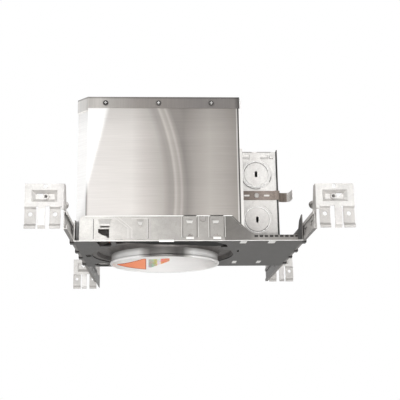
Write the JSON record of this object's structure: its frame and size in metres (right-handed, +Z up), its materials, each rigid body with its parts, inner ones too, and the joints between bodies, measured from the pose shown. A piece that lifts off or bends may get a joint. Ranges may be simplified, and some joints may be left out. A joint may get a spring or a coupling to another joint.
{
  "type": "recessed light housing",
  "caption": "Ceiling can housing with a round lamp aperture, riveted junction box and telescoping hanger bars that nail between joists.",
  "frame": {"origin": "centre of the lamp aperture in the plane of the frame's underside", "axes": "+Z up into the ceiling, +X towards the junction box, +Y to the rear, along the hanger bars"},
  "size_m": [0.2824, 0.4, 0.1492],
  "materials": {
    "galvanised_frame": "galvanised sheet, soft sheen",
    "brushed_aluminium": "fine horizontal brushing",
    "galvanised_cap": "fine brushing, duller than the shell",
    "zinc_fasteners": "zinc plated",
    "dark_aluminium": "plain drawn sheet",
    "bright_aluminium": "bright rolled sheet",
    "porcelain": "glazed white",
    "brass": "plain",
    "black_plastic": "satin",
    "galvanised_box": "light galvanised sheet",
    "spring_steel": "brown tempered spring steel",
    "green_screw": "green zinc plate",
    "galvanised_bar": "bright galvanised strip",
    "bright_nail": "bright drawn wire"
  },
  "bodies": {
    "housing": {"mounting_frame": "galvanised_frame", "housing_shell": "brushed_aluminium", "housing_top_cap": "galvanised_cap", "cap_screws": "zinc_fasteners", "collar_pan": "dark_aluminium", "aperture_collar": "bright_aluminium", "collar_rivets": "zinc_fasteners", "bracket_stud": "zinc_fasteners", "thermal_protector": "black_plastic", "wire_bushing": "black_plastic", "junction_box": "galvanised_box", "latch_strap": "spring_steel", "strap_rivet": "zinc_fasteners", "box_screw": "zinc_fasteners", "cable_clamp": "spring_steel", "ground_screw": "green_screw", "frame_rivets": "zinc_fasteners"},
    "lamp_carriage": {"socket_bracket": "galvanised_frame", "lamp_holder": "porcelain", "screw_shell": "brass", "centre_contact": "brass", "holder_screws": "zinc_fasteners"},
    "wing_nut": {"wing_nut": "zinc_fasteners"},
    "box_door": {"junction_box_door": "galvanised_box"},
    "front_left_hanger": {"front_left_bar": "galvanised_bar", "front_left_nail": "bright_nail"},
    "rear_left_hanger": {"rear_left_bar": "galvanised_bar", "rear_left_nail": "bright_nail"},
    "front_right_hanger": {"front_right_bar": "galvanised_bar", "front_right_nail": "bright_nail"},
    "rear_right_hanger": {"rear_right_bar": "galvanised_bar", "rear_right_nail": "bright_nail"}
  },
  "joints": [
    {"name": "left_bar_shift", "type": "slide", "parent": "housing", "child": "front_left_hanger", "axis": [0, -1, 0], "range_m": [-0.02, 0.15]},
    {"name": "left_bar_telescope", "type": "slide", "parent": "front_left_hanger", "child": "rear_left_hanger", "axis": [0, 1, 0], "range_m": [-0.058, 0.2]},
    {"name": "right_bar_shift", "type": "slide", "parent": "housing", "child": "front_right_hanger", "axis": [0, -1, 0], "range_m": [-0.02, 0.1]},
    {"name": "right_bar_telescope", "type": "slide", "parent": "front_right_hanger", "child": "rear_right_hanger", "axis": [0, 1, 0], "range_m": [0, 0.258]},
    {"name": "lamp_height", "type": "slide", "parent": "housing", "child": "lamp_carriage", "axis": [0, 0, 1], "range_m": [-0.015, 0.013]},
    {"name": "wing_nut_turn", "type": "hinge", "parent": "housing", "child": "wing_nut", "pos_m": [0.064, 0, 0.086], "axis": [1, 0, 0], "continuous": true},
    {"name": "box_door_lift", "type": "slide", "parent": "housing", "child": "box_door", "axis": [0, 0, 1], "range_m": [0, 0.084]}
  ]
}
